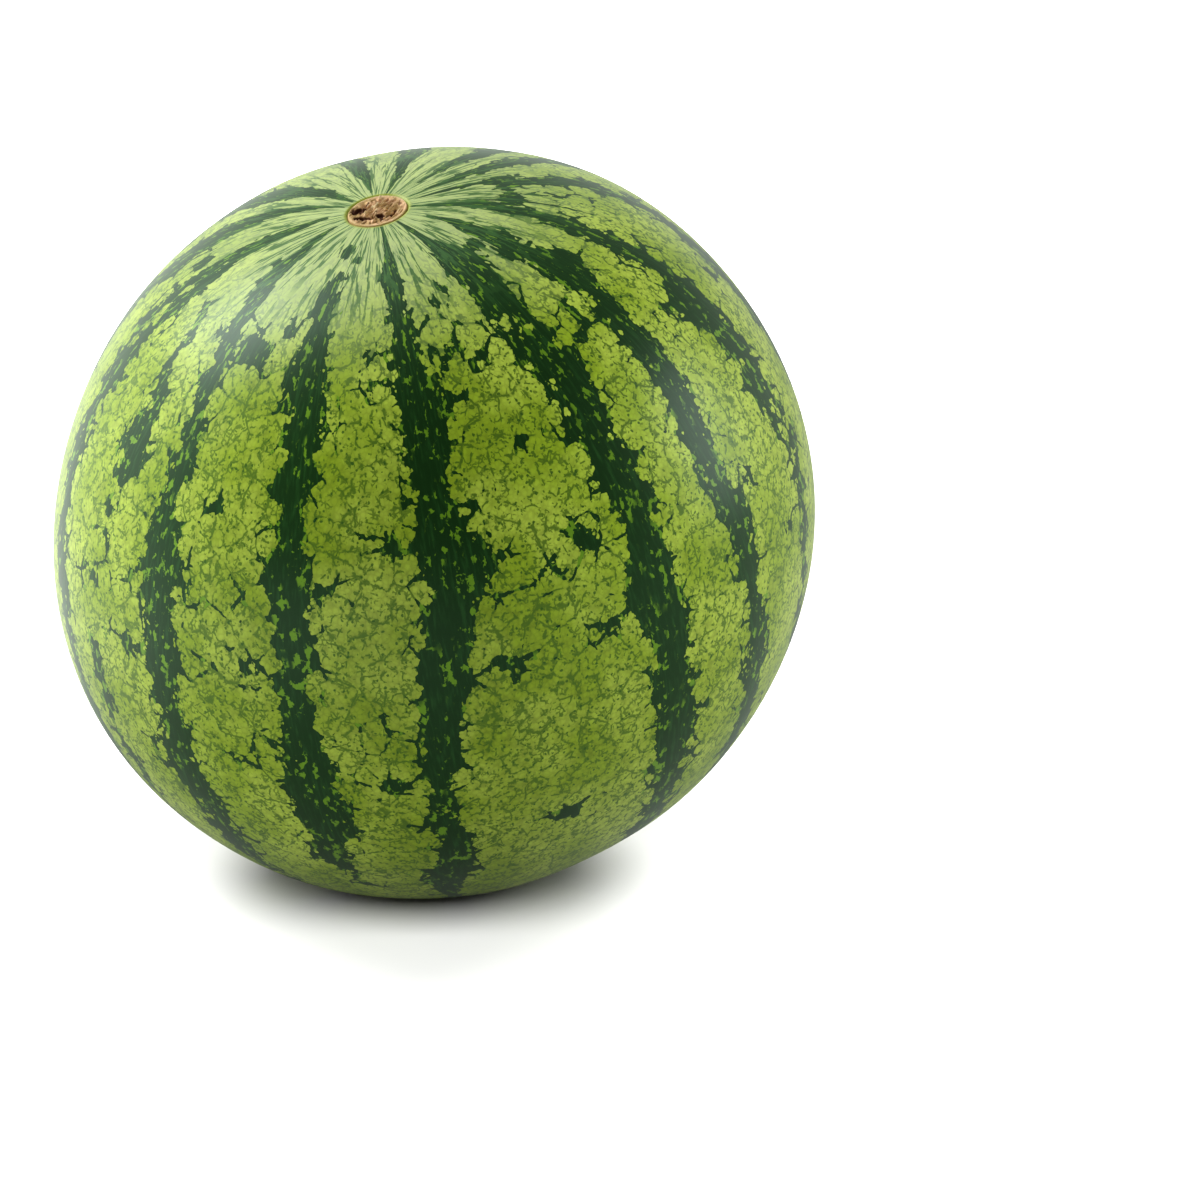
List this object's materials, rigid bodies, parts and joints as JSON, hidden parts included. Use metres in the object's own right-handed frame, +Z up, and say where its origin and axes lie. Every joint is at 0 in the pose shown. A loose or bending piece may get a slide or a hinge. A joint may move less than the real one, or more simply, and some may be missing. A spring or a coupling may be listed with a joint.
{
  "type": "watermelon",
  "caption": "Whole round watermelon with a tilted stem scar and a small flat underside that it stands on.",
  "frame": {"origin": "middle of the fruit's footprint in plan, on the surface it stands on", "axes": "+Z up; the stem end points up and leans about 20 degrees off vertical, mostly towards -Y and a little towards -X; +X is to the right seen from -Y"},
  "size_m": [0.251, 0.2508, 0.2434],
  "materials": {
    "rind": "satin",
    "stem_scar": "matte"
  },
  "bodies": {
    "root": {"watermelon": "rind"}
  },
  "joints": []
}
